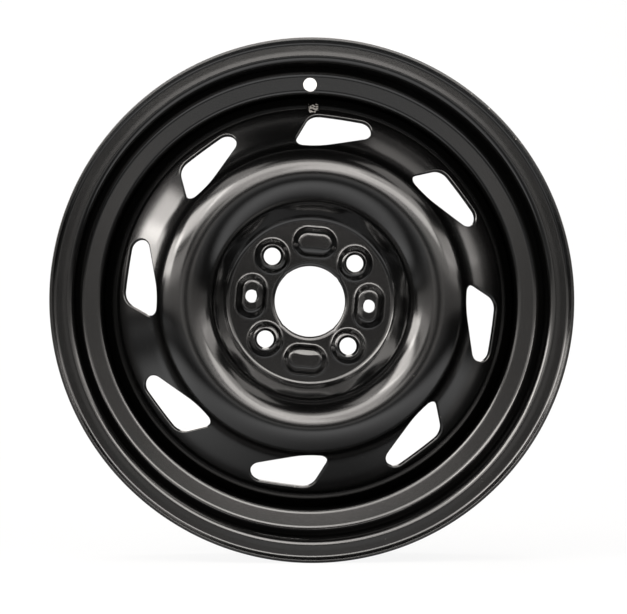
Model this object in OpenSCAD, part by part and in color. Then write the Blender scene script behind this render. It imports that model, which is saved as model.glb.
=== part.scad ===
// Steel wheel rim: a pressed disc welded into a rolled drop-centre rim. Millimetres.
// The wheel's centre is the origin and its axis is Y. The outboard face looks towards -Y, and the
// valve hole is at the top, towards +Z. Each piece is drawn about its own z axis, outboard up,
// and is laid over by wheel_frame(). Sections are drawn as [radius, height], with height
// measured outboard from the rim's middle plane.

/* [Rim] */
// diameter of the bead seats (a 16 inch rim)
bead_d = 405.6; // [380:0.1:430]
// width between the flange faces (6 inches)
rim_w = 152.4; // [140:0.1:170]
// height of the flange above the bead seat
flange_h = 17.3; // [15:0.1:19]
// thickness of the rim's sheet
rim_t = 2.5; // [2:0.1:3.2]
// how far the flange's lip turns out beyond the flange face
lip_reach = 13; // [11.5:0.1:14]
// radius of the flange's curl on the tyre side
curl_r = 6; // [5:0.1:8]
// radius at the flange's root on the tyre side
root_r = 4; // [3:0.1:6.5]
// width of the tapered bead seat
seat_w = 19.5; // [17:0.1:21]
// taper of the bead seat, in degrees
seat_taper = 5; // [4:0.5:6]
// rise of the safety hump above the seat's end
hump_h = 1.2; // [0.8:0.1:2]
// depth of the well below the bead seat
well_depth = 24.8; // [22:0.1:27]
// width of the well's floor
well_w = 40; // [36:0.5:44]
// radial width of the ledge that carries the valve hole
ledge_w = 16.7; // [15.5:0.1:18]
// tilt of the valve ledge from square to the axis, in degrees
ledge_tilt = 9; // [5:1:14]
// tilt of the short cone between hump and ledge, in degrees
cone_tilt = 45; // [40:1:50]
// diameter of the valve hole
valve_d = 11.5; // [10:0.1:12.5]

/* [Disc] */
// distance of the mounting face outboard of the rim's middle plane
wheel_offset = 40; // [35:0.5:45]
// thickness of the disc's sheet
disc_t = 3.8; // [3.2:0.1:4.6]
// diameter of the hub bore
bore_d = 60.1; // [54:0.1:66]
// width of the rounded lead-in around the hub bore
bore_edge_w = 4; // [2:0.1:5]
// depth of that lead-in
bore_edge_depth = 1.8; // [1:0.1:2.4]
// how far the crown stays behind the rim's lip
crown_inset = 5.2; // [3:0.1:10]
// radius of the crown's ridge line
ridge_r = 107.6; // [104:0.1:110]
// bend radius of the crown, at the middle of the sheet
crown_bend = 27; // [24:0.5:28]
// steepness of the bowl's wall, in degrees
wall_angle = 68; // [62:1:72]
// steepness of the crown's outer slope, in degrees
slope_angle = 47; // [43:1:50]
// length of the crown's outer slope, up to where it meets the vent band's line
slope_len = 8.5; // [8:0.1:11]
// outward tilt of the vent band, in degrees
band_tilt = 31; // [28:1:34]
// radial run of the shoulder between the vent band's fold and the disc's edge
shoulder_run = 12.1; // [10:0.1:14]
// steepness of the shoulder outside the fold, in degrees
shoulder_angle = 56; // [52:1:60]
// length of the disc's edge that is pressed into the well
seat_len = 16; // [12:0.5:20]

/* [Bolts and bosses] */
// bolt circle diameter
bolt_circle = 100; // [96:0.1:104]
// number of wheel bolts
bolt_n = 4; // [4]
// diameter of a bolt hole
bolt_hole_d = 14.5; // [12:0.1:15]
// full angle of the bolts' conical seats, in degrees
seat_angle = 60; // [50:1:70]
// radius of a bolt seat's mouth
seat_mouth_r = 9.2; // [8.6:0.1:9.5]
// height of a bolt boss above the pad
bolt_boss_h = 5.5; // [4.5:0.1:6.5]
// radius of a bolt boss at its foot
bolt_boss_r = 16.3; // [15.5:0.1:17]
// height of an oval boss above the pad
oval_boss_h = 6; // [5:0.1:7]
// half the width of an oval boss at its foot
oval_boss_r = 14.2; // [13:0.1:15]
// straight length in the middle of an oval boss
oval_len = 12; // [8:0.5:14]
// radius inside which the bosses slope down towards the hub bore
ramp_r = 46; // [44:0.1:48]
// steepness of that slope, in degrees
ramp_angle = 16; // [12:1:20]
// diameter of the locating hole in two of the oval bosses
locating_d = 11; // [9:0.1:12]
// angle of the first bolt hole, anticlockwise from the right
bolt_turn = 40.2; // [30:0.1:50]

/* [Vents] */
// number of vents
vent_n = 8; // [8]
// length of a vent along the rim
vent_len = 62.7; // [56:0.1:66]
// radial distance from the end of the crown's bend to a vent
vent_gap_in = 0.6; // [0:0.1:3]
// radial distance from a vent to the fold
vent_gap_out = 4.7; // [4:0.1:8]
// rounding of a vent's narrow end
nose_r = 9.2; // [7:0.1:11]
// rounding of the corner nearest the hub
tip_r = 6.8; // [5:0.1:8]
// rounding of the outer corner at the wide end
heel_r = 12.2; // [10:0.1:14]
// how far the wide end leans
heel_lean = 11.3; // [8:0.1:14]
// radius of the bow beside the tip
belly_r = 54; // [46:1:62]
// angle of the first vent's middle, anticlockwise from the right
vent_turn = 82.2; // [75:0.1:90]

/* [Valve recess] */
// width of the shallow recess in the shoulder below the valve hole
recess_w = 8.5; // [6:0.1:11]
// depth of that recess
recess_depth = 1.2; // [0.6:0.1:1.8]
// length of that recess down the shoulder
recess_len = 17; // [10:0.5:19]

/* [Welds] */
// number of weld beads between disc and rim
weld_n = 8; // [4:1:12]
// share of the circle that the beads cover
weld_share = 0.55; // [0.3:0.05:0.8]
// leg length of a weld bead
weld_leg = 3; // [2:0.1:3.2]

/* [Hidden] */
$fn = 120;
paint = [0.05, 0.05, 0.055];
weld_paint = [0.07, 0.07, 0.075];

// largest turn between two points of a bend
bend_step = 8;
// how far a cutter reaches past the face that it opens
clear = 1;

// the rim's section, along the middle of its sheet
lip_h = rim_w / 2 + lip_reach;
flange_mid_h = rim_w / 2 + rim_t / 2;
lip_mid_r = bead_d / 2 + flange_h - rim_t / 2;
seat_mid_r = bead_d / 2 - rim_t / 2;
seat_end = [seat_mid_r - (seat_w + rim_t / 2) * tan(seat_taper), rim_w / 2 - seat_w];
hump_run = 5;
hump_top = [seat_end.x + hump_h, seat_end.y - hump_run];
well_mid_r = bead_d / 2 - well_depth - rim_t / 2;
well_in_r = well_mid_r - rim_t / 2;
ledge_top_r = well_mid_r + ledge_w;
ledge_top = [ledge_top_r, hump_top.y - (hump_top.x - ledge_top_r) * tan(cone_tilt)];
well_front = [well_mid_r, ledge_top.y - ledge_w * tan(ledge_tilt)];
well_back = [well_mid_r, well_front.y - well_w];
rim_outboard = [[lip_mid_r, lip_h], [lip_mid_r, flange_mid_h], [seat_mid_r, flange_mid_h],
                seat_end, hump_top];
rim_inboard = [for (i = [len(rim_outboard) - 1:-1:0]) [rim_outboard[i].x, -rim_outboard[i].y]];
rim_line = concat(rim_outboard, [ledge_top, well_front, well_back], rim_inboard);
curl_bend = curl_r - rim_t / 2;
root_bend = root_r + rim_t / 2;
hump_bend = 4;
ledge_bend = 5;
well_bend = 2.5;
flare_bend = 15;
rim_bends = [curl_bend, root_bend, hump_bend, hump_bend, ledge_bend, well_bend,
             flare_bend, hump_bend, hump_bend, root_bend, curl_bend];
valve_at = (ledge_top + well_front) / 2;

// the disc's section, along the middle of its sheet
pad_rear_h = wheel_offset;
pad_h = pad_rear_h + disc_t / 2;
pad_front_h = pad_rear_h + disc_t;
crown_centre = [ridge_r, lip_h - crown_inset - disc_t / 2 - crown_bend];
wall_point = crown_centre + crown_bend * [-sin(wall_angle), cos(wall_angle)];
slope_point = crown_centre + crown_bend * [sin(slope_angle), cos(slope_angle)];
wall_foot = meet(wall_point, wall_angle, [0, pad_h], 0);
crown_peak = meet(wall_point, wall_angle, slope_point, -slope_angle);
valley = slope_point + slope_len * [cos(slope_angle), -sin(slope_angle)];
edge_mid_r = well_in_r - disc_t / 2;
fold = meet(valley, -band_tilt, [edge_mid_r - shoulder_run, 0], 90);
shoulder_foot = meet(fold, -shoulder_angle, [edge_mid_r, 0], 90);
edge_end_h = shoulder_foot.y - seat_len;
disc_line = [[0, pad_h], wall_foot, crown_peak, valley, fold, shoulder_foot, [edge_mid_r, edge_end_h]];
pad_bend = 7.5;
fold_bend = 6;
valley_bend = 50;
disc_bends = [pad_bend, crown_bend, valley_bend, fold_bend, fold_bend];

// a vent's outline in the plane of the band: tip, belly, nose and heel, as [x, y, radius]
vent_in = slope_point.x + vent_gap_in;
vent_out = fold.x - vent_gap_out;
vent_mid_r = (vent_in + vent_out) / 2;
vent_mid_h = valley.y - (vent_mid_r - valley.x) * tan(band_tilt);
vent_half_w = (vent_out - vent_in) / 2 / cos(band_tilt);
belly_shift = 1.6;
tip_fit_r = min(tip_r, vent_half_w / 2);
nose_fit_r = min(nose_r, vent_half_w * 0.9);
heel_fit_r = min(heel_r, vent_half_w * 0.9);
vent_tip = [tip_fit_r - vent_len / 2, tip_fit_r - vent_half_w, tip_fit_r];
vent_belly = [vent_tip.x + belly_shift, belly_r - vent_half_w, belly_r];
vent_nose = [vent_len / 2 - nose_fit_r, vent_half_w - nose_fit_r, nose_fit_r];
vent_heel = [vent_tip.x + heel_lean, vent_half_w - heel_fit_r, heel_fit_r];
vent_circles = [vent_tip, vent_belly, vent_nose, vent_heel];

// bosses and their hollow backs
bolt_r = bolt_circle / 2;
boss_wall_angle = 50;
boss_bend = 3;
hollow_wall = 2.4;
hollow_roof_extra = 1;
ramp_fall = 0.8 * oval_boss_h;

function unit(v) = v / norm(v);
function left(v) = [-v.y, v.x];
function turned(v, a) = [v.x * cos(a) - v.y * sin(a), v.x * sin(a) + v.y * cos(a)];
function bend_angle(a, b) = atan2(a.x * b.y - a.y * b.x, a * b);

// the point where two lines cross, each given by a point and its angle
function meet(p, a, q, b) =
    let (u = [cos(a), sin(a)], n = [-sin(b), cos(b)])
    p + u * ((q - p) * n) / (u * n);

// one rounded corner of a line, as [point, left normal] pairs
function bend(line, i, r) =
    let (
        u = unit(line[i] - line[i - 1]),
        v = unit(line[i + 1] - line[i]),
        a = bend_angle(u, v),
        centre = line[i] - u * r * tan(abs(a) / 2) + left(u) * r * sign(a),
        steps = max(2, ceil(abs(a) / bend_step))
    )
    [for (k = [0:steps]) let (n = turned(left(u), a * k / steps)) [centre - n * r * sign(a), n]];

// a line with rounded corners, as [point, left normal] pairs
function rounded(line, bends) =
    let (last = len(line) - 1)
    concat(
        [[line[0], left(unit(line[1] - line[0]))]],
        [for (i = [1:last - 1]) each bend(line, i, bends[i - 1])],
        [[line[last], left(unit(line[last] - line[last - 1]))]]
    );

// the closed section of a sheet that is bent along a line
function sheet(line, bends, t) =
    let (mid = rounded(line, bends), last = len(mid) - 1)
    concat(
        [for (m = mid) m[0] + m[1] * t / 2],
        [for (i = [last:-1:0]) mid[i][0] - mid[i][1] * t / 2]
    );

// the angle at which a belt around circles leaves one for the next, anticlockwise
function belt_angle(a, b) =
    let (d = [b.x - a.x, b.y - a.y])
    atan2(d.y, d.x) - 90 - asin((b.z - a.z) / norm(d));

// the outline of a belt around circles, each circle given as [x, y, radius]
function belt(circles) =
    let (n = len(circles))
    [for (i = [0:n - 1])
        let (
            c = circles[i],
            from = belt_angle(circles[(i + n - 1) % n], c),
            sweep = (belt_angle(c, circles[(i + 1) % n]) - from + 720) % 360,
            steps = max(2, ceil(sweep / bend_step))
        )
        each [for (k = [0:steps]) let (a = from + sweep * k / steps) [c.x, c.y] + c.z * [cos(a), sin(a)]]
    ];

// half of a boss's section, from its axis to its foot
function boss_section(foot_r, h) =
    let (
        foot = foot_r - boss_bend * tan(boss_wall_angle / 2),
        crest = foot - h / tan(boss_wall_angle),
        top = pad_front_h + h,
        line = [[foot_r, pad_front_h], [foot, pad_front_h], [crest, top], [0, top]]
    )
    concat([[0, pad_h], [foot_r, pad_h]], [for (m = rounded(line, [boss_bend, boss_bend])) m[0]]);

// half of the hollow behind a boss
function hollow_section(foot_r, h) =
    let (
        mouth = foot_r - hollow_wall,
        depth = h - hollow_roof_extra,
        roof = mouth - depth / tan(boss_wall_angle)
    )
    [[0, pad_rear_h - clear], [mouth, pad_rear_h - clear], [mouth, pad_rear_h],
     [roof, pad_rear_h + depth], [0, pad_rear_h + depth]];

// the other half of a section, from its foot back to its axis
function mirrored(section) =
    [for (i = [len(section) - 1:-1:0]) if (section[i].x > 0) [-section[i].x, section[i].y]];

// lays a piece over so that its z axis points outboard
module wheel_frame() {
    rotate([90, 0, 0]) children();
}

// places things around the bolt circle, with y pointing away from the hub
module around_bolts(angles) {
    for (a = angles) rotate([0, 0, a - 90]) translate([0, bolt_r, 0]) children();
}

// a section drawn out to a shape with a straight middle and round ends
module oval(section, length) {
    for (s = [-1, 1])
        translate([s * length / 2, 0, 0]) rotate([0, 0, -90 * s])
            rotate_extrude(angle = 180) polygon(section);
    rotate([90, 0, 90]) translate([0, 0, -length / 2]) linear_extrude(length)
        polygon(concat(section, mirrored(section)));
}

// all vents, punched square to the band
module vents() {
    for (k = [0:vent_n - 1])
        rotate([0, 0, vent_turn - 90 + k * 360 / vent_n])
            translate([0, vent_mid_r, vent_mid_h]) rotate([-band_tilt, 0, 0])
                translate([0, 0, -2 * disc_t]) linear_extrude(4 * disc_t) polygon(belt(vent_circles));
}

// the shallow recess that starts at the fold and runs down the shoulder
module valve_recess() {
    translate([0, fold.x, fold.y]) rotate([-shoulder_angle, 0, 0])
        translate([-recess_w / 2, -disc_t, disc_t / 2 - recess_depth])
            cube([recess_w, recess_len + disc_t, 2 * disc_t]);
}

// the hub bore and the rounding of its outboard edge
module hub_bore() {
    edge = [for (a = [0:15:90])
        [bore_d / 2 + bore_edge_w * (1 - cos(a)), pad_front_h - bore_edge_depth * (1 - sin(a))]];
    translate([0, 0, pad_rear_h - clear]) cylinder(h = disc_t + 2 * clear, r = bore_d / 2);
    rotate_extrude()
        polygon(concat([[0, pad_front_h + clear], [0, pad_front_h - bore_edge_depth]], edge,
                       [[bore_d / 2 + bore_edge_w, pad_front_h + clear]]));
}

// what is taken off the bosses for their slope towards the hub bore
module boss_ramp() {
    top = pad_front_h + oval_boss_h;
    start = [ramp_r - ramp_fall / tan(ramp_angle), top - ramp_fall];
    rotate_extrude() polygon([start, [ramp_r + clear / tan(ramp_angle), top + clear], [start.x, top + clear]]);
}

// a bolt hole with its conical seat
module bolt_hole() {
    top = pad_front_h + bolt_boss_h;
    depth = (seat_mouth_r - bolt_hole_d / 2) / tan(seat_angle / 2);
    translate([0, 0, pad_rear_h - clear]) cylinder(h = top - pad_rear_h + 2 * clear, r = bolt_hole_d / 2);
    translate([0, 0, top - depth])
        cylinder(h = depth + clear, r1 = bolt_hole_d / 2, r2 = seat_mouth_r + clear * tan(seat_angle / 2));
}

module rim() {
    color(paint) wheel_frame() difference() {
        rotate_extrude() polygon(sheet(rim_line, rim_bends, rim_t));
        translate([0, valve_at.x, valve_at.y]) rotate([ledge_tilt, 0, 0])
            translate([0, 0, -2 * rim_t]) cylinder(h = 4 * rim_t, r = valve_d / 2);
    }
}

module disc() {
    bolts = [for (k = [0:bolt_n - 1]) bolt_turn + k * 360 / bolt_n];
    ovals = [for (a = bolts) a + 180 / bolt_n];
    located = [ovals[1], ovals[3]];
    color(paint) wheel_frame() difference() {
        union() {
            rotate_extrude() polygon(sheet(disc_line, disc_bends, disc_t));
            around_bolts(bolts) rotate_extrude() polygon(boss_section(bolt_boss_r, bolt_boss_h));
            around_bolts(ovals) oval(boss_section(oval_boss_r, oval_boss_h), oval_len);
        }
        boss_ramp();
        around_bolts(bolts) rotate_extrude() polygon(hollow_section(bolt_boss_r, bolt_boss_h));
        around_bolts(ovals) oval(hollow_section(oval_boss_r, oval_boss_h), oval_len);
        around_bolts(bolts) bolt_hole();
        around_bolts(located) translate([0, 0, pad_rear_h - clear])
            cylinder(h = disc_t + oval_boss_h + 2 * clear, r = locating_d / 2);
        hub_bore();
        vents();
        valve_recess();
    }
}

module disc_welds() {
    arc = 360 / weld_n * weld_share;
    bulge = 0.6 * weld_leg;
    color(weld_paint) wheel_frame() for (k = [0:weld_n - 1])
        rotate([0, 0, (k + 0.5) * 360 / weld_n - arc / 2]) rotate_extrude(angle = arc)
            polygon([[well_in_r, edge_end_h], [well_in_r, edge_end_h - weld_leg],
                     [well_in_r - bulge, edge_end_h - bulge], [well_in_r - weld_leg, edge_end_h]]);
}

rim();
disc();
disc_welds();
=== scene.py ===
"""Looks of a pressed steel wheel rim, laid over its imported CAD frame.

The wheel's axis is Y and its outboard face looks towards -Y. Sections are drawn as radius and
height, with height measured outboard from the rim's middle plane. All lengths are in metres.
"""

import logging
import math
from dataclasses import dataclass, field
from enum import Enum, IntEnum
from typing import Any, Callable, Mapping, Optional, Sequence, Union

import bpy
import numpy as np
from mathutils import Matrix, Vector
from mathutils.geometry import delaunay_2d_cdt


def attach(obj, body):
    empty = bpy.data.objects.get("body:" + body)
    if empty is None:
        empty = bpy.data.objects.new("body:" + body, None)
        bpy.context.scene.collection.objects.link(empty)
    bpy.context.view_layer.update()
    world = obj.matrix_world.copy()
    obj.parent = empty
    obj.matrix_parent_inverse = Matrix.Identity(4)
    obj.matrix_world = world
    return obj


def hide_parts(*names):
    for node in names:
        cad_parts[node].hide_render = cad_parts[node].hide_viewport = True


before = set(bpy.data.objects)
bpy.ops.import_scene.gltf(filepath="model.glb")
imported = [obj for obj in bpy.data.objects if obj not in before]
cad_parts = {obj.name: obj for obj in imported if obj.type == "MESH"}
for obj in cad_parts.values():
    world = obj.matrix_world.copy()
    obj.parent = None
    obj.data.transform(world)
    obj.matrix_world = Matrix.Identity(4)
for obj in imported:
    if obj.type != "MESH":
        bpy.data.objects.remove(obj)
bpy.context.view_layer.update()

LOG = logging.getLogger("wheel")
MM = 0.001
TINY = 0.001 * MM
SHORT = 0.05 * MM
NORMAL_STEP = 0.03 * MM
MEAN_RADIUS = 150 * MM
FULL_TURN = 2 * math.pi
DEG = math.pi / 180
Array = np.ndarray
Material = bpy.types.Material
Object = bpy.types.Object
Circle = tuple[float, float, float]
Colour = tuple[float, float, float]
Pair = tuple[float, float]
Place = tuple[float, float, float]
Worn = Union[float, Array]


def link(name: str, data: bpy.types.ID) -> Object:
    """Makes an object and puts it into the scene.

    Args:
        name: its name.
        data: its mesh, lamp or camera.

    Returns:
        The object.
    """
    made = bpy.data.objects.new(name, data)
    bpy.context.collection.objects.link(made)
    return made


class Side(IntEnum):
    """The two faces of a sheet, by the side of its line that they lie on."""

    LEFT = 1
    RIGHT = -1


class Slot(str, Enum):
    """Material slots of the record."""

    PAINT = "black_paint"
    WELD = "painted_weld"


# Geometry of bent sheets.


@dataclass(frozen=True)
class BentLine:
    """A line of straight runs joined by round bends, read by the length along it.

    Attributes:
        corners: the corner points as radius and height.
        bends: the bend radius at each inner corner.
    """

    corners: Sequence[Pair]
    bends: Sequence[float]
    starts: Array = field(init=False)
    origins: Array = field(init=False)
    headings: Array = field(init=False)
    curls: Array = field(init=False)
    length: float = field(init=False)

    def __post_init__(self) -> None:
        """Lays out the straight runs and the bends one after the other."""
        corners = np.array(self.corners, float)
        ways = np.diff(corners, axis=0)
        ways /= np.linalg.norm(ways, axis=1)[:, None]
        rows, here, at = [], corners[0], 0.0
        for i, radius in enumerate(self.bends):
            u, v = ways[i], ways[i + 1]
            turn = math.atan2(u[0] * v[1] - u[1] * v[0], float(u @ v))
            trim = radius * math.tan(abs(turn) / 2)
            entry = corners[i + 1] - u * trim
            rows.append((at, here, u, 0.0))
            at += float((entry - here) @ u)
            rows.append((at, entry, u, math.copysign(1 / radius, turn)))
            at += radius * abs(turn)
            here = corners[i + 1] + v * trim
        rows.append((at, here, ways[-1], 0.0))
        at += float((corners[-1] - here) @ ways[-1])
        for name, values in zip(("starts", "origins", "headings", "curls"), zip(*rows)):
            object.__setattr__(self, name, np.array(values))
        object.__setattr__(self, "length", at)

    def at(self, s: Array) -> tuple[Array, Array]:
        """Points of the line and the normals to its left.

        Args:
            s: lengths along the line.

        Returns:
            Points and unit normals, one row for each length.
        """
        i = np.clip(np.searchsorted(self.starts, s, side="right") - 1, 0, len(self.starts) - 1)
        run, u, curl = s - self.starts[i], self.headings[i], self.curls[i]
        left = np.stack([-u[:, 1], u[:, 0]], axis=1)
        turn = curl * run
        c, q = np.cos(turn)[:, None], np.sin(turn)[:, None]
        normal = left * c - u * q
        safe = np.where(curl == 0, 1.0, curl)[:, None]
        bent = self.origins[i] + (left - normal) / safe
        return np.where(curl[:, None] == 0, self.origins[i] + u * run[:, None], bent), normal

    def where(self, axis: int, value: float, after: float = 0.0) -> float:
        """The length at which the line first passes a radius or height.

        Args:
            axis: 0 for a radius, 1 for a height.
            value: that radius or height.
            after: the length at which to start looking.

        Returns:
            The length.
        """
        tries = 40001
        s = np.linspace(after, self.length, tries)
        gap = self.at(s)[0][:, axis] - value
        return float(s[np.nonzero(np.diff(np.sign(gap)) != 0)[0][0]])

    def stations(self, turn: float, longest: float) -> Array:
        """Lengths at which to cut the line, close together in its bends.

        Args:
            turn: the largest turn between two of them, in radians.
            longest: the longest straight step.

        Returns:
            The lengths, from the line's start to its end.
        """
        ends = np.append(self.starts[1:], self.length)
        cuts = [np.array([0.0])]
        for start, end, curl in zip(self.starts, ends, self.curls):
            n = max(1, math.ceil(abs(curl) * (end - start) / turn), math.ceil((end - start) / longest))
            cuts.append(np.linspace(start, end, n + 1)[1:])
        return np.concatenate(cuts)


@dataclass(frozen=True)
class EdgeSection:
    """The section of a sheet's cut edge, from its left face to its right face.

    Attributes:
        rows: points as (way past the face's end, depth below the left face, normal past, normal up).
    """

    rows: Sequence[tuple[float, float, float, float]]

    @staticmethod
    def rounded(reach: float, drop: float, thickness: float, back: float, steps: int = 6) -> "EdgeSection":
        """A cut edge that is rounded on both faces.

        Args:
            reach: how far the left face's rounding reaches past its end.
            drop: how deep that rounding goes.
            thickness: the sheet's thickness at the edge.
            back: radius of the rounding at the right face.
            steps: points in each rounding.

        Returns:
            The section.
        """
        rows = []
        for a in np.linspace(0, math.pi / 2, steps + 1)[1:]:
            n = np.array([drop * math.sin(a), reach * math.cos(a)])
            rows.append((reach * math.sin(a), drop * (1 - math.cos(a)), *(n / np.linalg.norm(n))))
        for a in np.linspace(0, math.pi / 2, steps + 1):
            rows.append((reach - back * (1 - math.cos(a)), thickness - back * (1 - math.sin(a)),
                         math.cos(a), -math.sin(a)))
        after = [row[:2] for row in rows[1:]] + [(0.0, thickness)]
        return EdgeSection([row for row, end in zip(rows, after) if math.dist(row[:2], end) > TINY])


@dataclass
class Sheet:
    """A sheet of steel bent along a line and turned round the wheel's axis.

    Attributes:
        line: the section, along the middle of the sheet.
        thickness: the sheet's thickness.
        plan_start: radius of the flat plan at the line's start.
        plan_way: 1 if the plan's radius grows along the line, -1 if it shrinks.
        relief: pressed height above the plain face, from lengths, angles and a side.
        wear: how worn the left face's paint is, 0 to 1, from lengths and angles.
    """

    line: BentLine
    thickness: float
    plan_start: float
    plan_way: int = 1
    relief: Optional[Callable[[Array, Array, Side], Array]] = None
    wear: Optional[Callable[[Array, Array], Array]] = None

    def points(self, s: Array, angle: Array, side: Side) -> Array:
        """Points of one face in the wheel's frame.

        Args:
            s: lengths along the line.
            angle: angles round the axis.
            side: the face.

        Returns:
            The points, one to a row.
        """
        mid, normal = self.line.at(s)
        lift = side * self.thickness / 2 + (self.relief(s, angle, side) if self.relief else 0.0)
        at = mid + normal * np.broadcast_to(lift, s.shape)[:, None]
        return np.stack([at[:, 0] * np.cos(angle), -at[:, 1], at[:, 0] * np.sin(angle)], axis=1)

    def normals(self, s: Array, angle: Array, side: Side) -> Array:
        """Outward unit normals of one face.

        Args:
            s: lengths along the line.
            angle: angles round the axis.
            side: the face.

        Returns:
            The normals, one to a row.
        """
        ds, da = NORMAL_STEP, NORMAL_STEP / MEAN_RADIUS
        along = self.points(s + ds, angle, side) - self.points(s - ds, angle, side)
        round_ = self.points(s, angle + da, side) - self.points(s, angle - da, side)
        n = np.cross(along, round_) * side
        return n / np.linalg.norm(n, axis=1)[:, None]

    def plan(self, s: Array, angle: Array) -> Array:
        """Places on the flat plan for lengths and angles."""
        r = self.plan_start + self.plan_way * s
        return np.stack([r * np.cos(angle), r * np.sin(angle)], axis=1)

    def unplan(self, at: Array) -> tuple[Array, Array]:
        """Lengths and angles for places on the flat plan."""
        x, y = at.T
        return (np.hypot(x, y) - self.plan_start) * self.plan_way, np.arctan2(y, x)


@dataclass(frozen=True)
class Hole:
    """A hole through a sheet.

    Attributes:
        outline: where its edge leaves the faces, on the flat plan.
        section: the section of its edge.
        worn: how worn the paint on its edge is, 0 to 1.
        square: True where the section stands square to the wheel's face, not to the sheet.
    """

    outline: Array
    section: EdgeSection
    worn: float = 0.0
    square: bool = False


def ring(radius: float, count: int, out: float = 0.0, turn: float = 0.0) -> Array:
    """Points of a circle, anticlockwise, with its middle some way out at an angle."""
    a = np.arange(count) * FULL_TURN / count
    return np.stack([out * math.cos(turn) + radius * np.cos(a),
                     out * math.sin(turn) + radius * np.sin(a)], axis=1)


def belt(circles: Sequence[Circle], step: float) -> Array:
    """The outline of a belt around circles, anticlockwise.

    Args:
        circles: each as its centre and radius.
        step: longest step between two points.

    Returns:
        The outline's points.
    """
    turn = 0.16

    def leave(a: Circle, b: Circle) -> float:
        """The angle on circle a at which the belt leaves it for circle b."""
        dx, dy = b[0] - a[0], b[1] - a[1]
        return math.atan2(dy, dx) - math.pi / 2 - math.asin((b[2] - a[2]) / math.hypot(dx, dy))

    arcs = []
    for i, (x, y, r) in enumerate(circles):
        begin = leave(circles[i - 1], circles[i])
        sweep = (leave(circles[i], circles[(i + 1) % len(circles)]) - begin) % FULL_TURN
        a = begin + np.linspace(0, sweep, max(3, math.ceil(sweep / turn), math.ceil(sweep * r / step)) + 1)
        arcs.append(np.stack([x + r * np.cos(a), y + r * np.sin(a)], axis=1))
    points = np.concatenate(arcs)
    out = [points[0]]
    for p, q in zip(points, np.roll(points, -1, axis=0)):
        n = math.ceil(np.linalg.norm(q - p) / step)
        out += [p + (q - p) * k / n for k in range(1, n + 1)]
    return np.array(out[:-1])


def leftward(points: Array, loop: Sequence[int]) -> list[int]:
    """A loop of point numbers, in the order that turns left."""
    x, y = points[list(loop)].T
    return list(loop)[::1 if np.sum(x * np.roll(y, -1) - np.roll(x, -1) * y) > 0 else -1]


def wrapped(angle: Array) -> Array:
    """Angles brought between minus and plus half a turn."""
    return (angle + math.pi) % FULL_TURN - math.pi


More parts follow.
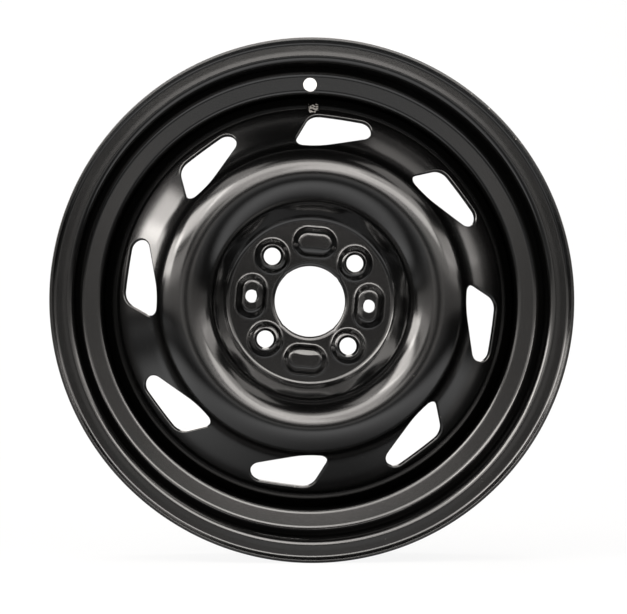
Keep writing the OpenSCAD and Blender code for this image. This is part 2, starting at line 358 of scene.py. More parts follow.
class SheetMesh:
    """A closed mesh of a turned sheet: two faces, cut edges and holes."""

    def __init__(self, sheet: Sheet, stations: Array, angles: Array) -> None:
        """Lays the grid of both faces.

        Args:
            sheet: the sheet.
            stations: lengths of the grid's rows along the line.
            angles: angles of its columns.
        """
        self.sheet, self.stations, self.angles = sheet, stations, angles
        self.rows, self.cols = len(stations), len(angles)
        self.points: list[Array] = []
        self.normals: list[Array] = []
        self.worn: list[Array] = []
        self.faces: list[tuple[int, ...]] = []
        self.count = 0
        self.open = np.ones((self.rows - 1, self.cols), bool)
        s, a = np.repeat(stations, self.cols), np.tile(angles, self.rows)
        self.grid = {side: self.add_face(s, a, side) for side in Side}

    def add(self, points: Array, normals: Array, worn: Worn = 0.0) -> Array:
        """Adds vertices.

        Args:
            points: their places.
            normals: their normals.
            worn: how worn the paint is there.

        Returns:
            Their numbers.
        """
        self.points.append(points)
        self.normals.append(normals)
        self.worn.append(np.broadcast_to(worn, len(points)))
        self.count += len(points)
        return np.arange(self.count - len(points), self.count)

    def add_face(self, s: Array, angle: Array, side: Side) -> Array:
        """Adds vertices of one face and returns their numbers."""
        worn = self.sheet.wear(s, angle) if self.sheet.wear and side == Side.LEFT else 0.0
        return self.add(self.sheet.points(s, angle, side), self.sheet.normals(s, angle, side), worn)

    def wall(self, left: Array, right: Array, past: Array, up: Array,
             edge: EdgeSection, flip: bool, worn: Worn) -> None:
        """Joins the two faces along a closed loop by the section of a cut edge.

        Args:
            left: the loop's vertices on the left face.
            right: those on the right face.
            past: directions in the sheet away from it, one for each vertex.
            up: normals of the left face along the loop.
            edge: the section.
            flip: True where the loop runs the other way round the sheet's edge.
            worn: how worn the paint is on the edge.
        """
        base = np.concatenate(self.points)[left]
        loops = [left]
        for x, z, nx, nz in edge.rows:
            loops.append(self.add(base + past * x - up * z, past * nx + up * nz, worn))
        loops.append(right)
        for a, b in zip(loops, loops[1:]):
            if flip:
                a, b = b, a
            for p, q, r, t in zip(a, np.roll(a, -1), np.roll(b, -1), b):
                self.faces.append((p, q, r, t))

    def patch(self, outline: Array) -> tuple[list[tuple[int, int]], list[int], Array]:
        """Takes a block out of the grid around a hole and meshes it anew, on the flat plan.

        Args:
            outline: the hole's outline, turning left.

        Returns:
            The grid's points in use as (row, column), where each corner stands among those points
            and the outline's, and the triangles between corners.
        """
        s, angle = self.sheet.unplan(outline)
        mid = math.atan2(np.sin(angle).mean(), np.cos(angle).mean())
        off, reach = wrapped(self.angles - mid), wrapped(angle - mid)
        order = np.argsort(off)
        first = np.searchsorted(off[order], reach.min()) - 2
        last = np.searchsorted(off[order], reach.max()) + 1
        low = max(0, np.searchsorted(self.stations, s.min()) - 2)
        high = min(self.rows - 1, np.searchsorted(self.stations, s.max()) + 1)
        cols = order[first:last + 1]
        self.open[low:high, cols[:-1]] = False

        clearance, nearness = 0.55, 1e-9
        border = ([(low, c) for c in cols] + [(r, cols[-1]) for r in range(low + 1, high + 1)]
                  + [(high, c) for c in cols[-2::-1]] + [(r, cols[0]) for r in range(high - 1, low, -1)])
        inner = [(r, c) for r in range(low + 1, high) for c in cols[1:-1]]

        def place(cells: Sequence[tuple[int, int]]) -> Array:
            """Places of the grid's points on the flat plan."""
            i = np.array(cells)
            return self.sheet.plan(self.stations[i[:, 0]], self.angles[i[:, 1]])

        inner_at = place(inner)
        step = np.linalg.norm(np.roll(outline, -1, axis=0) - outline, axis=1).mean()
        gap = np.min(np.linalg.norm(inner_at[:, None] - outline[None], axis=2), axis=1)
        cells = border + [cell for cell, apart in zip(inner, gap) if apart > clearance * step]
        at = np.concatenate([place(cells), outline])
        loops = [leftward(at, range(len(border))), list(range(len(cells), len(at)))]
        _, _, tris, origin, _, part_of = delaunay_2d_cdt([Vector(p) for p in at], [], loops, 0, nearness)
        around = np.array([t for t, parts in zip(tris, part_of) if parts == [0]])
        return cells, [o[0] for o in origin], around

    def cut(self, hole: Hole) -> None:
        """Cuts a hole: the grid around its outline is meshed anew on both faces.

        Args:
            hole: the hole.
        """
        sheet, mirrored = self.sheet, self.sheet.plan_way < 0
        outline = hole.outline[leftward(hole.outline, range(len(hole.outline)))]
        s, angle = sheet.unplan(outline)
        cells, origin, tri = self.patch(outline)
        loops = {side: self.add_face(s, angle, side) for side in Side}
        for side in Side:
            ids = np.concatenate([self.grid[side][[r * self.cols + c for r, c in cells]], loops[side]])
            turned = tri[:, ::-1] if (side == Side.RIGHT) != mirrored else tri
            self.faces += [tuple(t) for t in ids[origin][turned]]

        tangent = np.roll(outline, -1, axis=0) - np.roll(outline, 1, axis=0)
        left = np.stack([-tangent[:, 1], tangent[:, 0]], axis=1)
        left /= np.linalg.norm(left, axis=1)[:, None]
        edge = sheet.points(s, angle, Side.LEFT)
        up = sheet.normals(s, angle, Side.LEFT)
        if hole.square:
            up = np.broadcast_to([0.0, -1.0, 0.0], up.shape)
        past = sheet.points(*sheet.unplan(outline + left * SHORT), Side.LEFT) - edge
        past -= up * np.sum(past * up, axis=1)[:, None]
        past /= np.linalg.norm(past, axis=1)[:, None]
        self.wall(loops[Side.LEFT], loops[Side.RIGHT], past, up, hole.section, mirrored, hole.worn)

    def close_ends(self, start: EdgeSection, finish: EdgeSection, worn: Worn = 0.0) -> None:
        """Closes the sheet along its first and last station.

        Args:
            start: the section of the edge at the first station.
            finish: that at the last one.
            worn: how worn the paint is on both.
        """
        for row, edge, way in ((0, start, -1), (self.rows - 1, finish, 1)):
            ids = {side: self.grid[side][row * self.cols:(row + 1) * self.cols] for side in Side}
            up = np.concatenate(self.normals)[ids[Side.LEFT]]
            s = np.full(self.cols, self.stations[row])
            past = (self.sheet.points(s + SHORT, self.angles, Side.LEFT)
                    - self.sheet.points(s - SHORT, self.angles, Side.LEFT)) * way
            past /= np.linalg.norm(past, axis=1)[:, None]
            self.wall(ids[Side.LEFT], ids[Side.RIGHT], past, up, edge, way > 0, worn)

    def build(self, name: str, material: Material) -> Object:
        """Makes the object.

        Args:
            name: the piece's name.
            material: its finish.

        Returns:
            The object, at the origin, with exact normals and a "worn" attribute.
        """
        rows, cols = np.nonzero(self.open)
        after = (cols + 1) % self.cols
        for side in Side:
            ids = self.grid[side].reshape(self.rows, self.cols)
            quads = np.stack([ids[rows, cols], ids[rows + 1, cols],
                              ids[rows + 1, after], ids[rows, after]], axis=1)
            self.faces += [tuple(q) for q in (quads if side == Side.LEFT else quads[:, ::-1])]
        points, normals = np.concatenate(self.points), np.concatenate(self.normals)
        used = np.zeros(len(points), bool)
        for f in self.faces:
            used[list(f)] = True
        renumber = np.cumsum(used) - 1
        mesh = bpy.data.meshes.new(name)
        mesh.from_pydata(points[used].tolist(), [], [renumber[list(f)].tolist() for f in self.faces])
        mesh.polygons.foreach_set("use_smooth", np.ones(len(mesh.polygons), bool))
        worn = mesh.attributes.new("worn", "FLOAT", "POINT")
        worn.data.foreach_set("value", np.concatenate(self.worn)[used])
        mesh.materials.append(material)
        mesh.update()
        mesh.normals_split_custom_set_from_vertices(normals[used].tolist())
        LOG.info("%s: %d vertices, %d faces", name, len(mesh.vertices), len(mesh.polygons))
        return link(name, mesh)


def even_angles(count: int, fine_at: Optional[float] = None, fine_span: float = 0.0,
                fine_step: float = 1.0) -> Array:
    """Angles round the wheel, in radians, with an optional finer stretch.

    Args:
        count: how many there are without the stretch.
        fine_at: the stretch's middle, if there is one.
        fine_span: how far it reaches to each side.
        fine_step: the step in it.

    Returns:
        The angles, rising.
    """
    angles = -math.pi + np.arange(count) * FULL_TURN / count
    if fine_at is None:
        return angles
    fine = fine_at + np.arange(-fine_span, fine_span + fine_step / 2, fine_step)
    outside = np.abs(angles - fine_at) > fine_span + fine_step / 2
    return np.sort(np.concatenate([angles[outside], fine]))


# Shader and geometry graphs.

Feed = Union["Sock", float, int, tuple, Material]
Settings = Optional[Mapping[str, Any]]
Feeds = Optional[Mapping[Union[str, int], Feed]]


class Sock:
    """A socket of a shader or geometry graph that can be reckoned with."""

    def __init__(self, graph: "Graph", socket: bpy.types.NodeSocket) -> None:
        """Wraps a socket of a graph."""
        self.graph, self.socket = graph, socket

    def __add__(self, other: Feed) -> "Sock":
        """This plus the other."""
        return self.graph.math("ADD", self, other)

    def __sub__(self, other: Feed) -> "Sock":
        """This minus the other."""
        return self.graph.math("SUBTRACT", self, other)

    def __rsub__(self, other: Feed) -> "Sock":
        """The other minus this."""
        return self.graph.math("SUBTRACT", other, self)

    def __mul__(self, other: Feed) -> "Sock":
        """This times the other."""
        return self.graph.math("MULTIPLY", self, other)

    __radd__, __rmul__ = __add__, __mul__


class Graph:
    """A node tree that is written down as expressions."""

    def __init__(self, tree: bpy.types.NodeTree) -> None:
        """Takes the tree to write into."""
        self.tree = tree

    def node(self, kind: str, settings: Settings = None, sockets: Feeds = None) -> bpy.types.Node:
        """Makes a node.

        Args:
            kind: the node's type.
            settings: its properties, set first.
            sockets: values or links of its inputs, by name or place.

        Returns:
            The node.
        """
        made = self.tree.nodes.new(kind)
        for key, value in (settings or {}).items():
            setattr(made, key, value)
        for key, value in (sockets or {}).items():
            if isinstance(value, Sock):
                self.tree.links.new(value.socket, made.inputs[key])
            else:
                made.inputs[key].default_value = value
        return made

    def out(self, kind: str, output: Union[str, int] = 0, settings: Settings = None,
            sockets: Feeds = None) -> Sock:
        """Makes a node and returns one of its outputs."""
        return Sock(self, self.node(kind, settings, sockets).outputs[output])

    def math(self, operation: str, a: Feed, b: Feed = 0.0) -> Sock:
        """One step of arithmetic."""
        return self.out("ShaderNodeMath", 0, {"operation": operation}, {0: a, 1: b})

    def ramp(self, value: Sock, span: Pair) -> Sock:
        """A smooth rise from 0 to 1 between two values."""
        return self.out("ShaderNodeMapRange", 0, {"interpolation_type": "SMOOTHSTEP"},
                        {"Value": value, "From Min": span[0], "From Max": span[1]})

    def noise(self, at: Sock, scale: float, detail: float = 2.0) -> Sock:
        """A noise value over places."""
        return self.out("ShaderNodeTexNoise", 0, None, {"Vector": at, "Scale": scale, "Detail": detail})

    def blend(self, factor: Feed, a: Union[Sock, Colour], b: Union[Sock, Colour]) -> Sock:
        """A mix of two colours."""
        ends = [c if isinstance(c, Sock) else (*c, 1.0) for c in (a, b)]
        return self.out("ShaderNodeMix", 2, {"data_type": "RGBA"}, {0: factor, 6: ends[0], 7: ends[1]})


def new_material(name: str) -> tuple[Material, Graph]:
    """Makes a material.

    Args:
        name: its name.

    Returns:
        The material and its empty graph.
    """
    material = bpy.data.materials.new(name)
    material.use_nodes = True
    material.node_tree.nodes.clear()
    return material, Graph(material.node_tree)


# Finishes.


@dataclass(frozen=True)
class Paint:
    """Black paint on pressed steel, with dust specks, worn edges and painted shade on the bead seat and the
    disc's shoulder.

    Attributes:
        gloss: how strongly the paint below its skin mirrors.
        coat: weight of its glossy skin.
        peel: depth of its orange peel.
        painted_shade: share of painted shade, flat black with no gloss, on the bead seat and on the disc's
            shoulder.
        seat: where the shade is painted on the bead seat: the rise of its mask over the radius, and over y
            at both ends.
        shoulder: the same for the painted shade on the disc's shoulder, over the radius at both ends and
            over y.
    """

    name: str
    colour: Colour = (0.0008, 0.0008, 0.0008)
    roughness: float = 0.17
    gloss: float = 0.3
    coat: float = 1.0
    coat_roughness: float = 0.15
    peel: float = 0.00002
    painted_shade: float = 0.95
    dust: Colour = (0.3, 0.29, 0.27)
    bare: Colour = (0.2, 0.19, 0.18)
    seat: tuple[Pair, Pair, Pair] = ((0.190, 0.194), (-0.0765, -0.0735), (-0.0485, -0.046))
    shoulder: tuple[Pair, Pair, Pair] = ((0.163, 0.1665), (0.1745, 0.1755), (-0.047, -0.042))

    def build(self) -> Material:
        """Makes the material.

        Returns:
            The material. Its chips follow the mesh's "worn" attribute.
        """
        material, g = new_material(self.name)
        at = g.out("ShaderNodeTexCoord", "Object")
        cloud = g.noise(at, 22.0, 3.0)
        speck = g.ramp(g.noise(at, 1100.0, 1.0), (0.79, 0.82)) * g.ramp(g.noise(at, 40.0, 2.0), (0.52, 0.62))
        worn = g.out("ShaderNodeAttribute", "Fac", {"attribute_name": "worn"})
        chip = g.ramp(g.noise(at, 420.0, 3.0) + worn * 0.3, (0.78, 0.84)) * g.ramp(worn, (0.02, 0.3))
        colour = g.blend(chip, g.blend(speck * 0.8, self.colour, self.dust), self.bare)
        part = g.node("ShaderNodeSeparateXYZ", None, {"Vector": at})
        x, y, z = (Sock(g, part.outputs[i]) for i in range(3))
        radius = g.math("SQRT", x * x + z * z)
        # Painted shade: the bead seat and the disc's shoulder are masked to flat black, with their gloss
        # taken away.
        out, front, back = self.seat
        seat = g.ramp(radius, out) * g.ramp(y, front) * (1.0 - g.ramp(y, back))
        inner, outer, deep = self.shoulder
        shoulder = g.ramp(radius, inner) * (1.0 - g.ramp(radius, outer)) * g.ramp(y, deep)
        painted_shade_mask = g.math("MAXIMUM", seat, shoulder) * (1.0 - chip)
        rough = self.roughness + (cloud - 0.5) * 0.12 + speck * 0.3 + chip * 0.1
        skin = self.coat * (1.0 - chip) * (1.0 - speck)
        bumps = g.noise(at, 330.0, 2.0) + g.noise(at, 90.0, 1.0) * 1.6
        bump = g.out("ShaderNodeBump", 0, None, {"Height": bumps, "Distance": self.peel, "Strength": 1.0})
        shader = g.out("ShaderNodeBsdfPrincipled", 0, None, {
            "Base Color": colour, "Roughness": rough, "Specular IOR Level": self.gloss, "Coat Weight": skin,
            "Coat Roughness": self.coat_roughness, "Normal": bump})
        # Flat black diffuse that paints the shade on those masks.
        painted_shade = g.out("ShaderNodeBsdfDiffuse", 0, None, {"Color": (*self.colour, 1.0)})
        both = g.out("ShaderNodeMixShader", 0, None, {0: painted_shade_mask * self.painted_shade, 1: shader, 2: painted_shade})
        g.node("ShaderNodeOutputMaterial", None, {"Surface": both})
        return material


@dataclass(frozen=True)
class StageFinish:
    """Pale floor and backdrop: white with a faint shadow to the camera, and painted shade with painted light
    pools where the paint mirrors it.

    Attributes:
        glow: share of the surface that shows as plain white.
        dim: brightness of the painted shade on the floor away from the pools, seen only where the paint
            mirrors it.
        pools: painted light pools, seen only where the paint mirrors them, each as a place and radius on the
            floor and a brightness.
    """

    name: str
    height: float
    glow: float = 0.9
    dim: float = 0.03
    pools: Sequence[tuple[Circle, float]] = (
        ((-0.4, -0.17, 0.5), 1.1), ((0.43, -0.22, 0.46), 0.95), ((0.05, -0.46, 0.44), 1.15),
        ((0.0, -2.6, 2.2), 0.75), ((-1.7, -0.6, 1.4), 0.4))

    def build(self) -> Material:
        """Makes the material.

        Returns:
            The material: white to the camera, and painted shade with painted light pools where the paint
                mirrors it.
        """
        material, g = new_material(self.name)
        path = g.node("ShaderNodeLightPath")
        mirrored = g.math("MAXIMUM", Sock(g, path.outputs["Is Glossy Ray"]),
                          Sock(g, path.outputs["Is Transmission Ray"]))
        seen = g.math("MAXIMUM", Sock(g, path.outputs["Is Camera Ray"]) * self.glow, mirrored)
        at = g.out("ShaderNodeTexCoord", "Object")
        # Painted light pools over painted shade, seen only in reflections.
        painted_reflection: Feed = self.dim
        for (x, y, radius), level in self.pools:
            away = g.out("ShaderNodeVectorMath", "Value", {"operation": "DISTANCE"},
                         {0: at, 1: (x, y, self.height)})
            painted_reflection = (1.0 - g.ramp(away, (0.0, radius))) * level + painted_reflection
        plain = g.out("ShaderNodeBsdfDiffuse", 0, None, {"Color": (0.8, 0.8, 0.8, 1.0)})
        colour = g.blend(mirrored, (1.0, 1.0, 1.0), painted_reflection)
        white = g.out("ShaderNodeEmission", 0, None, {"Color": colour, "Strength": 1.0})
        shader = g.out("ShaderNodeMixShader", 0, None, {0: seen, 1: plain, 2: white})
        g.node("ShaderNodeOutputMaterial", None, {"Surface": shader})
        return material


# The wheel's pieces.


@dataclass
class RolledRim:
    """The rolled rim: flanges, bead seats, humps, the valve ledge and the drop-centre well.

    Attributes:
        hump_foot: a height between the hump and the ledge.
        hollow: how hollow the flange's face is.
        knock: middle and width of the stretch where the lip's paint is nicked.
    """

    thickness: float = 2.5 * MM
    valve_radius: float = 5.75 * MM
    valve_mid: float = 185.10 * MM
    hump_foot: float = 48 * MM
    lip_radius: float = 218.78 * MM
    lip_height: float = 89.15 * MM
    lip_edge: float = 0.6 * MM
    flange_height: float = 77.45 * MM
    hollow: float = 0.35 * MM
    knock: Pair = (45 * DEG, 22 * DEG)

    def line(self) -> BentLine:
        """The rim's section.

        Returns:
            The middle line, from the outboard lip to the inboard one.
        """
        outboard = [(self.lip_radius, self.lip_height - self.lip_edge),
                    (self.lip_radius, self.flange_height + self.hollow),
                    (209.5 * MM, self.flange_height), (201.55 * MM, self.flange_height - 0.1 * MM),
                    (199.735 * MM, 56.7 * MM), (200.935 * MM, 51.7 * MM)]
        middle = [(193.45 * MM, 44.1 * MM), (176.75 * MM, 42.0 * MM), (176.75 * MM, 1.57 * MM)]
        inboard = [(r, -h) for r, h in reversed(outboard)]
        bends = [4.75, 90, 5.25, 4, 4, 7, 5, 15, 4, 4, 5.25, 90, 4.75]
        return BentLine(outboard + middle + inboard, [b * MM for b in bends])

    def build(self, material: Material) -> Object:
        """Makes the rim with its valve hole.

        Args:
            material: its finish.

        Returns:
            The piece.
        """
        line = self.line()
        at_valve = line.where(0, self.valve_mid, line.where(1, self.hump_foot))
        sheet = Sheet(line, self.thickness, at_valve + self.valve_mid, -1)
        stations = line.stations(7.5 * DEG, 10 * MM)
        angles = even_angles(360)
        mesh = SheetMesh(sheet, stations, angles)
        edge = 0.5 * MM
        rise = ring(self.valve_radius + edge, 48)
        s, angle = at_valve - rise[:, 1], math.pi / 2 + rise[:, 0] / self.valve_mid
        mesh.cut(Hole(sheet.plan(s, angle), EdgeSection.rounded(edge, edge, self.thickness, edge)))
        lip = EdgeSection.rounded(self.lip_edge, self.lip_edge, self.thickness, self.lip_edge)
        knocked = np.exp(-((angles - self.knock[0]) / self.knock[1]) ** 2)
        mesh.close_ends(lip, lip, 0.1 + 0.3 * knocked)
        return mesh.build("rim_rolled", material)


@dataclass
class PressedDisc:
    """The pressed disc: hub pad with bosses, bowl, crown, vent band, shoulder and seated edge.

    Attributes:
        bore_edge: how far the bore's rounding reaches, and how deep it goes.
        ramp_top: height of the bosses where their slope starts, at ramp_radius.
        ramp_blend: half of the height over which the slope's edge is rounded.
        vent_circles: the circles that a vent's outline runs around, as centres and radii in mm.
        band_start: a radius on the crown, inside of the vent band.
        fold: radius of the fold between the vent band and the shoulder.
        recess_radius: the radius at which its width counts.
    """

    thickness: float = 3.8 * MM
    bore_radius: float = 30.05 * MM
    bore_edge: Pair = (4 * MM, 1.8 * MM)
    pad_mid: float = 41.9 * MM
    pad_end: float = 68 * MM
    pad_step: float = 1.15 * MM
    boss_count: int = 8
    boss_end: float = 72 * MM
    bolt_circle: float = 50 * MM
    bolt_turn: float = 40.2 * DEG
    bolt_radius: float = 7.25 * MM
    seat_mouth: float = 9.2 * MM
    locating_radius: float = 5.5 * MM
    locating_at: tuple[int, int] = (3, 7)
    oval_length: float = 12 * MM
    ramp_top: float = 6 * MM
    ramp_radius: float = 46 * MM
    ramp_angle: float = 16 * DEG
    ramp_blend: float = 0.8 * MM
    vent_count: int = 8
    vent_turn: float = 82.2 * DEG
    vent_circles: Sequence[Circle] = (
        (-24.55, -10.03, 6.8), (-22.95, 37.17, 54.0), (22.15, 7.63, 9.2), (-13.25, 4.63, 12.2))
    vent_mid: Pair = (142.373 * MM, 61.752 * MM)
    vent_edge: float = 1.2 * MM
    band_tilt: float = 31 * DEG
    band_start: float = 120 * MM
    fold: float = 161.5 * MM
    recess_width: float = 9.5 * MM
    recess_depth: float = 0.6 * MM
    recess_length: float = 14 * MM
    recess_shift: float = 2.9 * MM
    recess_lead: float = 4 * MM
    recess_radius: float = 165 * MM
    line: BentLine = field(init=False)
    start: float = field(init=False)
    fold_at: float = field(init=False)
    bosses: dict[tuple[Side, bool], tuple[Array, Array]] = field(init=False)

    def __post_init__(self) -> None:
        """Draws the section and the bosses: for each face, the round ones and the oval ones."""
        self.start = self.bore_radius + self.bore_edge[0]
        corners = [(self.start, self.pad_mid), (73.146 * MM, self.pad_mid), (98.442 * MM, 104.510 * MM),
                   (133.144 * MM, 67.297 * MM), (self.fold, 50.259 * MM), (173.6 * MM, 32.320 * MM),
                   (173.6 * MM, 16.720 * MM)]
        self.line = BentLine(corners, [b * MM for b in (7.5, 27, 50, 6, 6)])
        self.fold_at = self.line.where(0, self.fold)
        sizes = {(Side.LEFT, False): (16.3, 5.5, 3, 5), (Side.LEFT, True): (14.2, 6, 3, 5),
                 (Side.RIGHT, False): (14.46, 4.5, 1.2, 1.2), (Side.RIGHT, True): (12.36, 5, 1.2, 1.2)}
        self.bosses = {key: self.boss_table(*(v * MM for v in row)) for key, row in sizes.items()}

    @staticmethod
    def boss_table(foot: float, height: float, foot_bend: float, crest_bend: float,
                   wall: float = 50.0) -> tuple[Array, Array]:
        """A boss's height over the distance from its middle.

        Args:
            foot: the distance at which it starts.
            height: its full height.
            foot_bend: bend radius at its foot.
            crest_bend: bend radius at its crest.
            wall: steepness of its wall, in degrees.

        Returns:
            Distances, rising, and heights.
        """
        base = foot - foot_bend * math.tan(wall * DEG / 2)
        crest = base - height / math.tan(wall * DEG)
        corners = [(-10 * MM, height), (crest, height), (base, 0), (foot + 20 * MM, 0)]
        line = BentLine(corners, [crest_bend, foot_bend])
        at = line.at(np.linspace(0, line.length, 3000))[0]
        return at[:, 0], at[:, 1]

    def boss_turn(self, k: int) -> float:
        """The angle of a boss, by its number: even ones are round, odd ones oval."""
        return self.bolt_turn + k * FULL_TURN / self.boss_count

    def relief(self, s: Array, angle: Array, side: Side) -> Array:
        """Pressed height above the plain sheet: the bosses and the recess below the valve.

        Args:
            s: lengths along the line.
            angle: angles round the axis.
            side: the face.

        Returns:
            The heights.
        """
        r = self.start + s
        x, y = r * np.cos(angle), r * np.sin(angle)
        lift = np.zeros_like(s)
        for k in range(self.boss_count):
            turn, oval = self.boss_turn(k), bool(k % 2)
            across = np.abs(-x * math.sin(turn) + y * math.cos(turn))
            out = x * math.cos(turn) + y * math.sin(turn) - self.bolt_circle
            gap = np.hypot(np.maximum(across - (self.oval_length / 2 if oval else 0.0), 0), out)
            lift = np.maximum(lift, np.interp(gap, *self.bosses[side, oval]))
        lift = np.where(r < self.boss_end, lift, 0.0)
        if side == Side.LEFT:
            slope = self.ramp_top - np.maximum(self.ramp_radius - r, 0) * math.tan(self.ramp_angle)
            share = np.clip(0.5 + (slope - lift) / (2 * self.ramp_blend), 0, 1)
            lift = slope + (lift - slope) * share - self.ramp_blend * share * (1 - share)
            lift = lift - self.recess_depth * self.in_recess(s, angle)
        return lift

    def in_recess(self, s: Array, angle: Array) -> Array:
        """How far places lie inside the recess below the valve, whose floor is also lightened with pale bare
        chips.

        Args:
            s: lengths along the line.
            angle: angles round the axis.

        Returns:
            0 outside to 1 inside.
        """
        along, soft, softer = s - self.fold_at, 0.6 * MM, 2 * MM
        across = np.abs((math.pi / 2 - angle) * self.recess_radius - self.recess_shift)
        return (self.step((self.recess_width / 2 - across) / soft)
                * self.step((along + self.recess_lead) / softer)
                * self.step((self.recess_length - along) / soft))

    @staticmethod
    def step(x: Array) -> Array:
        """A smooth rise from 0 at 0 to 1 at 1."""
        t = np.clip(x, 0, 1)
        return t * t * (3 - 2 * t)

    def vent(self, k: int, sheet: Sheet) -> Hole:
        """One of the slanted vents, cut square to the vent band.

        Args:
            k: its number, anticlockwise from the top.
            sheet: the disc's sheet.

        Returns:
            The hole.
        """
        flat = belt([(x * MM, y * MM, r * MM + self.vent_edge) for x, y, r in self.vent_circles], 1.6 * MM)
        lean, rise = math.sin(self.band_tilt), math.cos(self.band_tilt)
        out, height = self.vent_mid[0] + flat[:, 1] * rise, self.vent_mid[1] - flat[:, 1] * lean
        band = np.linspace(self.line.where(0, self.band_start), self.fold_at, 2000)
        at = self.line.at(band)[0]
        slide = np.zeros(len(flat))
        for _ in range(12):
            radius = np.hypot(flat[:, 0], out + slide * lean)
            slide += (np.interp(radius, at[:, 0], at[:, 1]) - height - slide * rise) * rise
        s = np.interp(np.hypot(flat[:, 0], out + slide * lean), at[:, 0], band)
        turn = self.vent_turn + k * FULL_TURN / self.vent_count
        angle = turn - np.arctan2(flat[:, 0], out + slide * lean)
        section = EdgeSection.rounded(self.vent_edge, self.vent_edge, self.thickness, 0.8 * MM)
        return Hole(sheet.plan(s, angle), section, 0.35)

    def bolt_hole(self, turn: float) -> Hole:
        """A bolt hole with its conical seat, through the crest of a round boss.

        Args:
            turn: its angle round the wheel's axis.

        Returns:
            The hole, with a rounded mouth, the cone, the plain bore and a rounded end.
        """
        crest, lean, wall, roof = 0.4 * MM, 17 * DEG, 60 * DEG, self.thickness + 0.75 * MM
        loop = self.seat_mouth + 0.25 * MM
        rows = [(crest * (math.sin(lean) + math.sin(a)), crest * (math.cos(lean) - math.cos(a)),
                 math.sin(a), math.cos(a)) for a in np.linspace(-lean, wall, 8)[1:]]
        x = loop - self.bolt_radius
        z = rows[-1][1] + (x - rows[-1][0]) * math.tan(wall)
        rows += [(x - 0.1 * MM, z - 0.17 * MM, math.sin(wall), math.cos(wall)), (x, z + 0.05 * MM, 1.0, 0.0),
                 (x, roof - 0.3 * MM, 1.0, 0.0), (x - 0.2 * MM, roof - 0.05 * MM, 0.5, -0.866),
                 (x - 0.4 * MM, roof, 0.0, -1.0)]
        return Hole(ring(loop, 56, self.bolt_circle, turn), EdgeSection(rows), 0.1, square=True)

    def locating_hole(self, turn: float) -> Hole:
        """A plain hole through the crest of an oval boss.

        Args:
            turn: its angle round the wheel's axis.

        Returns:
            The hole.
        """
        edge = 0.5 * MM
        section = EdgeSection.rounded(edge, edge, self.thickness + 1 * MM, edge)
        return Hole(ring(self.locating_radius + edge, 40, self.bolt_circle, turn), section)

    def build(self, material: Material) -> Object:
        """Makes the disc with its vents, bosses and holes.

        Args:
            material: its finish.

        Returns:
            The piece.
        """
        # The recess mask is also the wear map, so the recess floor gets pale bare chips.
        sheet = Sheet(self.line, self.thickness, self.start, 1, self.relief, self.in_recess)
        plain = self.line.stations(5 * DEG, 6 * MM)
        pad = np.arange(0, self.pad_end - self.start, self.pad_step)
        stations = np.concatenate([pad, plain[plain > pad[-1] + 0.5 * MM]])
        angles = even_angles(330, 89 * DEG, 2.4 * DEG, 0.2 * DEG)
        mesh = SheetMesh(sheet, stations, angles)
        for k in range(self.vent_count):
            mesh.cut(self.vent(k, sheet))
        for k in range(0, self.boss_count, 2):
            mesh.cut(self.bolt_hole(self.boss_turn(k)))
        for k in self.locating_at:
            mesh.cut(self.locating_hole(self.boss_turn(k)))
        bore = EdgeSection.rounded(*self.bore_edge, self.thickness, 0.4 * MM, 8)
        mesh.close_ends(bore, EdgeSection.rounded(0.4 * MM, 0.4 * MM, self.thickness, 0.4 * MM))
        return mesh.build("disc_pressed", material)


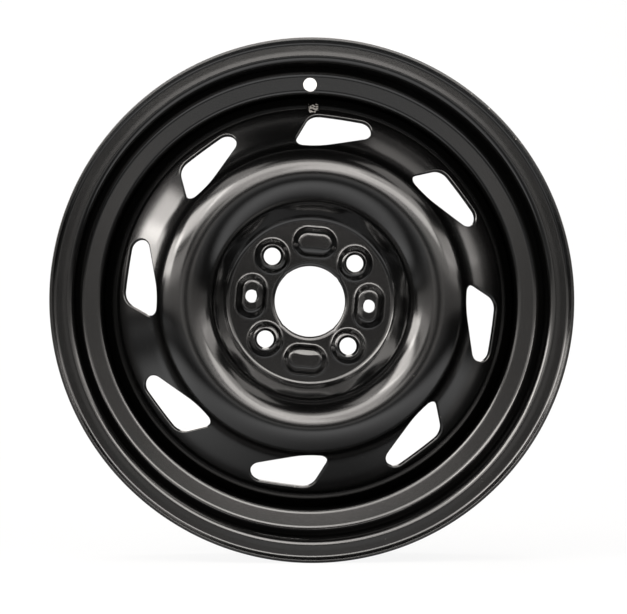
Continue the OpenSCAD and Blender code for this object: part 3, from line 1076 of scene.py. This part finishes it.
@dataclass
class WeldBeads:
    """The rippled fillet beads between the disc's edge and the rim's well.

    Attributes:
        ripple: half the size of a ripple, across the bead twice and along it.
        least: size of the smallest ripple, where the largest is 1.
    """

    count: int = 8
    share: float = 0.55
    points: int = 33
    radius: float = 174.5 * MM
    height: float = 15.3 * MM
    pitch: float = 1.7 * MM
    ripple: Place = (1.75 * MM, 1.75 * MM, 1.5 * MM)
    least: float = 0.88
    seed: int = 4

    def paths(self) -> Object:
        """The beads' middle lines.

        Returns:
            An object of edges.
        """
        points, edges = [], []
        span = FULL_TURN / self.count
        for k in range(self.count):
            mid = (k + 0.5) * span
            half = span * self.share / 2
            for i, a in enumerate(np.linspace(mid - half, mid + half, self.points)):
                if i:
                    edges.append((len(points) - 1, len(points)))
                points.append((self.radius * math.cos(a), -self.height, self.radius * math.sin(a)))
        mesh = bpy.data.meshes.new("weld_beads")
        mesh.from_pydata(points, edges, [])
        return link("weld_paths", mesh)

    def tree(self) -> bpy.types.NodeTree:
        """The geometry graph that lays ripples along the paths.

        Returns:
            The graph. Its inputs are the pitch, the ripple's size, the seed and the finish.
        """
        tree = bpy.data.node_groups.new("weld_ripples", "GeometryNodeTree")
        for name, kind in (("Geometry", "NodeSocketGeometry"), ("Pitch", "NodeSocketFloat"),
                           ("Ripple", "NodeSocketVector"), ("Seed", "NodeSocketInt"),
                           ("Finish", "NodeSocketMaterial")):
            tree.interface.new_socket(name, in_out="INPUT", socket_type=kind)
        tree.interface.new_socket("Geometry", in_out="OUTPUT", socket_type="NodeSocketGeometry")
        g = Graph(tree)
        given = g.node("NodeGroupInput")

        def value(name: str) -> Sock:
            """One of the graph's inputs."""
            return Sock(g, given.outputs[name])

        curve = g.out("GeometryNodeMeshToCurve", 0, None, {"Mesh": value("Geometry")})
        spots = g.out("GeometryNodeResampleCurve", 0, {"mode": "LENGTH"},
                      {"Curve": curve, "Length": value("Pitch")})
        blob = g.out("GeometryNodeMeshIcoSphere", 0, None, {"Radius": 1.0, "Subdivisions": 3})
        turn = g.out("FunctionNodeAlignRotationToVector", 0, {"axis": "Z"},
                     {"Vector": g.out("GeometryNodeInputTangent")})
        vary = g.node("FunctionNodeRandomValue", {"data_type": "FLOAT"}, {"Seed": value("Seed")})
        vary.inputs[2].default_value, vary.inputs[3].default_value = self.least, 1.0
        size = g.out("ShaderNodeVectorMath", 0, {"operation": "SCALE"},
                     {0: value("Ripple"), "Scale": Sock(g, vary.outputs[1])})
        laid = g.out("GeometryNodeInstanceOnPoints", 0, None,
                     {"Points": spots, "Instance": blob, "Rotation": turn, "Scale": size})
        real = g.out("GeometryNodeRealizeInstances", 0, None, {0: laid})
        smooth = g.out("GeometryNodeSetShadeSmooth", 0, None, {0: real})
        done = g.out("GeometryNodeSetMaterial", 0, None, {"Geometry": smooth, "Material": value("Finish")})
        g.node("NodeGroupOutput", None, {"Geometry": done})
        return tree

    def build(self, material: Material) -> Object:
        """Makes the beads as one mesh.

        Args:
            material: their finish.

        Returns:
            The piece.
        """
        paths, tree = self.paths(), self.tree()
        modifier = paths.modifiers.new("ripples", "NODES")
        modifier.node_group = tree
        names = {item.name: item.identifier for item in tree.interface.items_tree if item.in_out == "INPUT"}
        for name, value in (("Pitch", self.pitch), ("Ripple", self.ripple), ("Seed", self.seed),
                            ("Finish", material)):
            modifier[names[name]] = value
        graph = bpy.context.evaluated_depsgraph_get()
        mesh = bpy.data.meshes.new_from_object(paths.evaluated_get(graph), depsgraph=graph)
        bpy.data.objects.remove(paths)
        LOG.info("weld_beads: %d faces", len(mesh.polygons))
        return link("weld_beads", mesh)


# The studio.


@dataclass(frozen=True)
class Softbox:
    """A lamp that looks at the wheel.

    Attributes:
        azimuth: degrees to the right, seen from the camera's side.
        elevation: degrees above the wheel's axis.
        size: width and height.
        level: brightness of its face, where 1 is plain white.
        distance: from the wheel's middle.
    """

    name: str
    azimuth: float
    elevation: float
    size: Pair
    level: float
    tint: Colour = (1.0, 0.96, 0.92)
    distance: float = 2.4

    def build(self) -> None:
        """Makes the lamp, turned towards the wheel's middle."""
        lamp = bpy.data.lights.new(self.name, "AREA")
        lamp.shape = "RECTANGLE"
        lamp.size, lamp.size_y = self.size
        lamp.energy = self.level * math.pi * self.size[0] * self.size[1]
        lamp.color = self.tint
        made = link(self.name, lamp)
        a, e = self.azimuth * DEG, self.elevation * DEG
        way = Vector((math.sin(a) * math.cos(e), -math.cos(a) * math.cos(e), math.sin(e)))
        made.location = way * self.distance
        made.rotation_euler = way.to_track_quat("Z", "Y").to_euler()


@dataclass
class Studio:
    """Floor, backdrop, lamps and camera."""

    floor_height: float = -0.2201
    floor_front: float = -4.0
    backdrop_y: float = 2.4
    backdrop_top: float = 4.0
    half_width: float = 7.0
    sweep_radius: float = 1.2
    ambient: Colour = (0.015, 0.015, 0.015)
    camera_at: Place = (-0.15, -2.5392, -0.085)
    camera_aim: Place = (0.00019, -0.0892, -0.00637)
    lens: float = 168.61
    sensor: float = 36.0
    lamps: Sequence[Softbox] = (
        Softbox("lamp_left_low", -76, 19, (1.9, 0.68), 8.2),
        Softbox("lamp_left_high", -44, 29.5, (1.5, 0.7), 8.6),
        Softbox("lamp_front_top", -6, 33, (1.7, 0.46), 6.8),
        Softbox("lamp_front_left", -14, 22, (1.0, 0.48), 4.3),
        Softbox("lamp_front_right", 21, 22, (1.7, 0.48), 7.2),
        Softbox("lamp_right_mid", 33, 32, (1.2, 0.46), 3.2),
        Softbox("lamp_right", 68, 19, (1.9, 0.52), 3.0),
        Softbox("lamp_right_high", 57, 49, (1.0, 0.9), 1.5),
        Softbox("lamp_top", -8, 42, (2.9, 0.4), 2.0),
        Softbox("lamp_top_left", -38, 50, (1.0, 0.5), 2.2),
        Softbox("lamp_low_left", -45, 11.5, (2.2, 0.36), 2.6),
        Softbox("lamp_low_front", 3, 13.2, (0.8, 0.34), 3.6),
        Softbox("lamp_low_right", 44, 11.5, (2.6, 0.36), 1.7),
        Softbox("lamp_level_left", -42, 3, (3.0, 0.4), 0.8),
        Softbox("lamp_level_right", 50, 3, (3.0, 0.4), 0.5),
        Softbox("panel_top", 3.3, 12, (1.9, 0.8), 0.45, distance=3.7),
        Softbox("panel_left", -8.3, 1.5, (0.7, 0.62), 0.5, distance=3.64),
        Softbox("panel_right", 14.3, 1.5, (0.7, 0.62), 0.5, distance=3.72),
        Softbox("panel_bottom", 3.3, -2.2, (1.6, 0.15), 0.9, distance=3.61),
        Softbox("lamp_back_top", 180, 45, (1.4, 1.8), 4.5),
    )

    def sweep(self) -> None:
        """Makes the floor and the backdrop, one sheet with a round sweep between them."""
        z, y, bend = self.floor_height, self.backdrop_y, self.sweep_radius
        turn = np.linspace(0, math.pi / 2, 25)
        round_part = [(y - bend + bend * math.sin(a), z + bend - bend * math.cos(a)) for a in turn]
        profile = [(self.floor_front, z), *round_part, (y, self.backdrop_top)]
        points = [(x, *p) for x in (-self.half_width, self.half_width) for p in profile]
        n = len(profile)
        mesh = bpy.data.meshes.new("sweep")
        mesh.from_pydata(points, [], [(i, i + n, i + n + 1, i + 1) for i in range(n - 1)])
        mesh.polygons.foreach_set("use_smooth", np.ones(n - 1, bool))
        mesh.materials.append(StageFinish("sweep", z).build())
        made = link("sweep", mesh)

    def build(self) -> None:
        """Makes the stage, the lamps and the camera."""
        self.sweep()
        for lamp in self.lamps:
            lamp.build()
        world = bpy.data.worlds.new("studio")
        bpy.context.scene.world = world
        world.use_nodes = True
        world.node_tree.nodes["Background"].inputs["Color"].default_value = (*self.ambient, 1.0)
        camera = bpy.data.cameras.new("camera")
        camera.lens, camera.sensor_width = self.lens, self.sensor
        made = link("camera", camera)
        made.location = self.camera_at
        way = Vector(self.camera_aim) - Vector(self.camera_at)
        made.rotation_euler = way.to_track_quat("-Z", "Y").to_euler()
        bpy.context.scene.camera = made
        bpy.context.scene.view_settings.view_transform = "Standard"


def main() -> None:
    """Builds the wheel and the studio."""
    logging.basicConfig(level=logging.INFO, format="%(message)s")
    paint = Paint(Slot.PAINT.value).build()
    weld_paint = Paint(Slot.WELD.value, colour=(0.003, 0.003, 0.003), roughness=0.32, coat=0.6).build()
    for made, node, slot in ((RolledRim().build(paint), "rim", Slot.PAINT),
                             (PressedDisc().build(paint), "disc", Slot.PAINT),
                             (WeldBeads().build(weld_paint), "disc_welds", Slot.WELD)):
        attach(made, "root")
        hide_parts(node)
    Studio().build()


if __name__ == "__main__":
    main()
